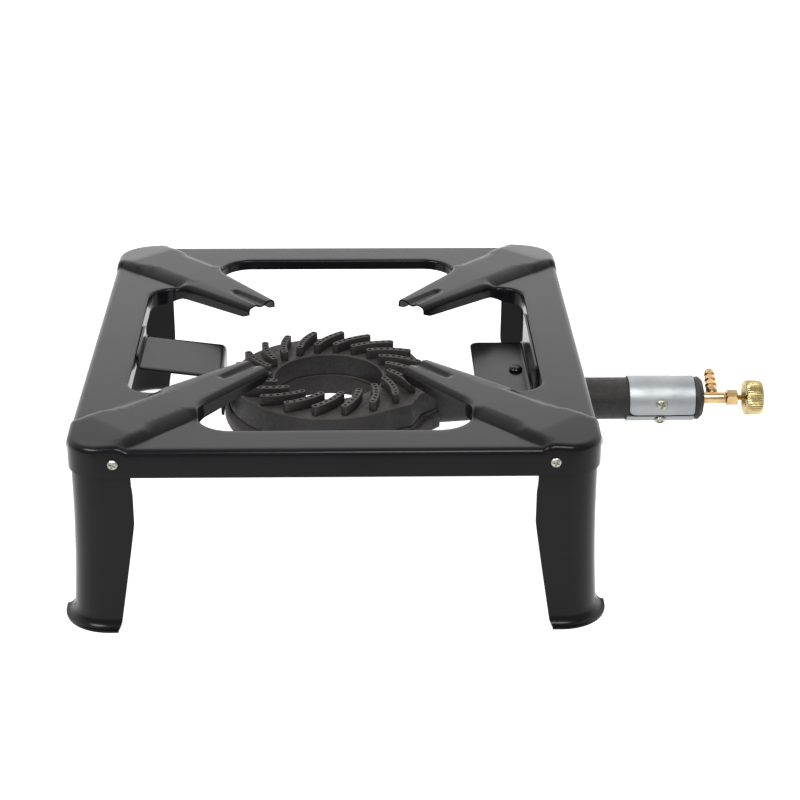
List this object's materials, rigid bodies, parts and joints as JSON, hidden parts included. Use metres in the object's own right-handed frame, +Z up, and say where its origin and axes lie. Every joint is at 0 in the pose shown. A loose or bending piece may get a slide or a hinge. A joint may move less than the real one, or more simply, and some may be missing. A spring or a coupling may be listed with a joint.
{
  "type": "propane burner stand",
  "caption": "Low square stand of black sheet steel with pan arms over a ring burner, with a long mixing tube, a sliding air shutter, a brass needle valve and a knurled knob.",
  "frame": {"origin": "on the floor under the middle of the bounding box", "axes": "+X towards the valve knob, +Y towards the back, +Z up"},
  "size_m": [0.5486, 0.4302, 0.1482],
  "materials": {
    "black_paint": "glossy black enamel on pressed sheet",
    "cast_iron": "rough sand casting, black heat-proof paint",
    "zinc_plate": "zinc-plated rolled sheet, satin",
    "screw_steel": "zinc-plated screws and nuts",
    "brass": "machined, slightly dulled",
    "seal": "matt packing"
  },
  "bodies": {
    "stand": {"top_frame": "black_paint", "leg_front_left": "black_paint", "leg_front_right": "black_paint", "leg_rear_left": "black_paint", "leg_rear_right": "black_paint", "leg_screw_front_left": "screw_steel", "leg_screw_front_left_side": "screw_steel", "leg_screw_front_right": "screw_steel", "leg_screw_front_right_side": "screw_steel", "leg_screw_rear_left": "screw_steel", "leg_screw_rear_left_side": "screw_steel", "leg_screw_rear_right": "screw_steel", "leg_screw_rear_right_side": "screw_steel", "leg_nut_front_left": "screw_steel", "leg_nut_front_left_side": "screw_steel", "leg_nut_front_right": "screw_steel", "leg_nut_front_right_side": "screw_steel", "leg_nut_rear_left": "screw_steel", "leg_nut_rear_left_side": "screw_steel", "leg_nut_rear_right": "screw_steel", "leg_nut_rear_right_side": "screw_steel", "bracket_left": "black_paint", "bracket_right": "black_paint", "burner_bolt_left": "screw_steel", "burner_bolt_right": "black_paint", "burner_base": "cast_iron", "burner_head": "cast_iron", "end_cap": "cast_iron", "valve_body": "brass", "injector_jet": "brass", "hose_barb": "brass", "gland_nut": "brass", "packing_ring": "seal"},
    "shutter": {"air_shutter": "zinc_plate", "shutter_screw_upper": "screw_steel", "shutter_screw_lower": "screw_steel"},
    "spindle": {"valve_spindle": "brass"},
    "knob": {"control_knob": "brass"}
  },
  "joints": [
    {"name": "shutter_slide", "type": "slide", "parent": "stand", "child": "shutter", "axis": [-1, 0, 0], "range_m": [0, 0.033]},
    {"name": "spindle_travel", "type": "slide", "parent": "stand", "child": "spindle", "axis": [1, 0, 0], "range_m": [0, 0.0015]},
    {"name": "knob_turn", "type": "hinge", "parent": "spindle", "child": "knob", "pos_m": [0.26685, 0, 0.0874], "axis": [1, 0, 0], "range_deg": [0, 540]}
  ],
  "couplings": [
    {"joint": "spindle_travel", "follows": "knob_turn", "m_per_rad": 0.000159}
  ]
}
